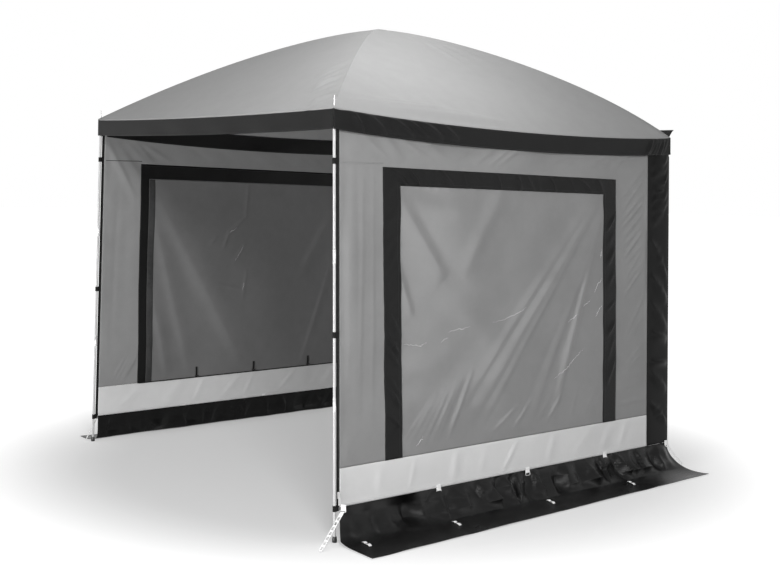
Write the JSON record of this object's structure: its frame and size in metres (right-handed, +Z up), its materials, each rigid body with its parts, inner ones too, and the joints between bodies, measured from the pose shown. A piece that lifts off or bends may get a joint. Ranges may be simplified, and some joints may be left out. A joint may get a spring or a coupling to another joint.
{
  "type": "van awning",
  "caption": "Square dome-roofed van awning with an open front, two side walls with framed windows, mud skirts and strap anchors.",
  "frame": {"origin": "middle of the outline on the ground, below the roof", "axes": "+X along the van to the near side wall, +Y towards the van, +Z up"},
  "size_m": [2.8374, 2.5056, 2.3923],
  "materials": {
    "roof_cloth": "matte",
    "wall_cloth": "matte",
    "pale_cloth": "matte",
    "black_cloth": "matte",
    "skirt_cloth": "satin",
    "clear_sheet": "gloss",
    "blind_cloth": "matte",
    "fibre_rod": "satin",
    "steel": "satin",
    "black_nylon": "matte",
    "white_nylon": "satin"
  },
  "bodies": {
    "awning": {"roof_hub": "black_nylon", "roof_pole_front_right": "fibre_rod", "corner_joint_front_right": "black_nylon", "leg_upper_front_right": "fibre_rod", "leg_middle_front_right": "fibre_rod", "leg_lower_front_right": "fibre_rod", "corner_pin_front_right": "steel", "foot_cap_front_right": "black_nylon", "roof_pole_front_left": "fibre_rod", "corner_joint_front_left": "black_nylon", "leg_upper_front_left": "fibre_rod", "leg_middle_front_left": "fibre_rod", "leg_lower_front_left": "fibre_rod", "corner_pin_front_left": "steel", "foot_cap_front_left": "black_nylon", "roof_pole_rear_right": "fibre_rod", "corner_joint_rear_right": "black_nylon", "leg_rear_right": "fibre_rod", "roof_pole_rear_left": "fibre_rod", "corner_joint_rear_left": "black_nylon", "leg_rear_left": "fibre_rod", "roof_panel_front": "roof_cloth", "eave_band_front": "black_cloth", "roof_panel_rear": "roof_cloth", "eave_band_rear": "black_cloth", "roof_panel_right": "roof_cloth", "eave_band_right": "black_cloth", "roof_panel_left": "roof_cloth", "eave_band_left": "black_cloth", "peak_cap": "roof_cloth", "van_flap": "black_cloth", "side_wall_right": "wall_cloth", "window_surround_right": "black_cloth", "window_pane_right": "clear_sheet", "ground_band_right": "pale_cloth", "van_seal_right": "black_cloth", "zip_tape_right": "black_cloth", "skirt_right": "skirt_cloth", "side_wall_left": "wall_cloth", "window_surround_left": "black_cloth", "window_pane_left": "clear_sheet", "ground_band_left": "pale_cloth", "van_seal_left": "black_cloth", "zip_tape_left": "black_cloth", "skirt_left": "skirt_cloth"},
    "zip_slider_right": {"zip_slider_right": "steel"},
    "blind_right": {"window_blind_right": "blind_cloth"},
    "ring_front_right": {"ring_front_right": "steel"},
    "ring_middle_right": {"ring_middle_right": "steel"},
    "ring_rear_right": {"ring_rear_right": "steel"},
    "zip_slider_left": {"zip_slider_left": "steel"},
    "blind_left": {"window_blind_left": "blind_cloth"},
    "ring_front_left": {"ring_front_left": "steel"},
    "ring_middle_left": {"ring_middle_left": "steel"},
    "ring_rear_left": {"ring_rear_left": "steel"},
    "ladder_front_right": {"ladder_front_right": "white_nylon"},
    "ladder_front_left": {"ladder_front_left": "white_nylon"},
    "ladder_rear_right": {"ladder_rear_right": "white_nylon"},
    "ladder_rear_left": {"ladder_rear_left": "white_nylon"}
  },
  "joints": [
    {"name": "zip_right", "type": "slide", "parent": "awning", "child": "zip_slider_right", "axis": [-0.042, 0.0138, 0.999], "range_m": [0, 1.6]},
    {"name": "blind_drop_right", "type": "slide", "parent": "awning", "child": "blind_right", "axis": [0.042, 0, -0.9991], "range_m": [0, 1.15], "deforming": ["window_blind_right"]},
    {"name": "ring_front_right_swing", "type": "hinge", "parent": "awning", "child": "ring_front_right", "pos_m": [1.1339, -0.51623, 0.13819], "axis": [0, -1, 0], "range_deg": [0, 150]},
    {"name": "ring_middle_right_swing", "type": "hinge", "parent": "awning", "child": "ring_middle_right", "pos_m": [1.1339, 0.07077, 0.13819], "axis": [0, -1, 0], "range_deg": [0, 150]},
    {"name": "ring_rear_right_swing", "type": "hinge", "parent": "awning", "child": "ring_rear_right", "pos_m": [1.1339, 0.64577, 0.13819], "axis": [0, -1, 0], "range_deg": [0, 150]},
    {"name": "zip_left", "type": "slide", "parent": "awning", "child": "zip_slider_left", "axis": [0.042, 0.0138, 0.999], "range_m": [0, 1.6]},
    {"name": "blind_drop_left", "type": "slide", "parent": "awning", "child": "blind_left", "axis": [-0.042, 0, -0.9991], "range_m": [0, 1.15], "deforming": ["window_blind_left"]},
    {"name": "ring_front_left_swing", "type": "hinge", "parent": "awning", "child": "ring_front_left", "pos_m": [-1.2669, -0.51623, 0.13819], "axis": [0, 1, 0], "range_deg": [0, 150]},
    {"name": "ring_middle_left_swing", "type": "hinge", "parent": "awning", "child": "ring_middle_left", "pos_m": [-1.2669, 0.07077, 0.13819], "axis": [0, 1, 0], "range_deg": [0, 150]},
    {"name": "ring_rear_left_swing", "type": "hinge", "parent": "awning", "child": "ring_rear_left", "pos_m": [-1.2669, 0.64577, 0.13819], "axis": [0, 1, 0], "range_deg": [0, 150]},
    {"name": "ladder_front_right_swing", "type": "hinge", "parent": "awning", "child": "ladder_front_right", "pos_m": [1.14782, -1.08216, 0.13877], "axis": [-0.9389, -0.342, -0.0395], "range_deg": [0, 110]},
    {"name": "ladder_front_left_swing", "type": "hinge", "parent": "awning", "child": "ladder_front_left", "pos_m": [-1.28082, -1.08216, 0.13877], "axis": [-0.9389, 0.342, 0.0395], "range_deg": [0, 110]},
    {"name": "ladder_rear_right_swing", "type": "hinge", "parent": "awning", "child": "ladder_rear_right", "pos_m": [1.14089, 1.14777, 0.13848], "axis": [0, -1, 0], "range_deg": [0, 110]},
    {"name": "ladder_rear_left_swing", "type": "hinge", "parent": "awning", "child": "ladder_rear_left", "pos_m": [-1.27389, 1.14777, 0.13848], "axis": [0, 1, 0], "range_deg": [0, 110]}
  ]
}
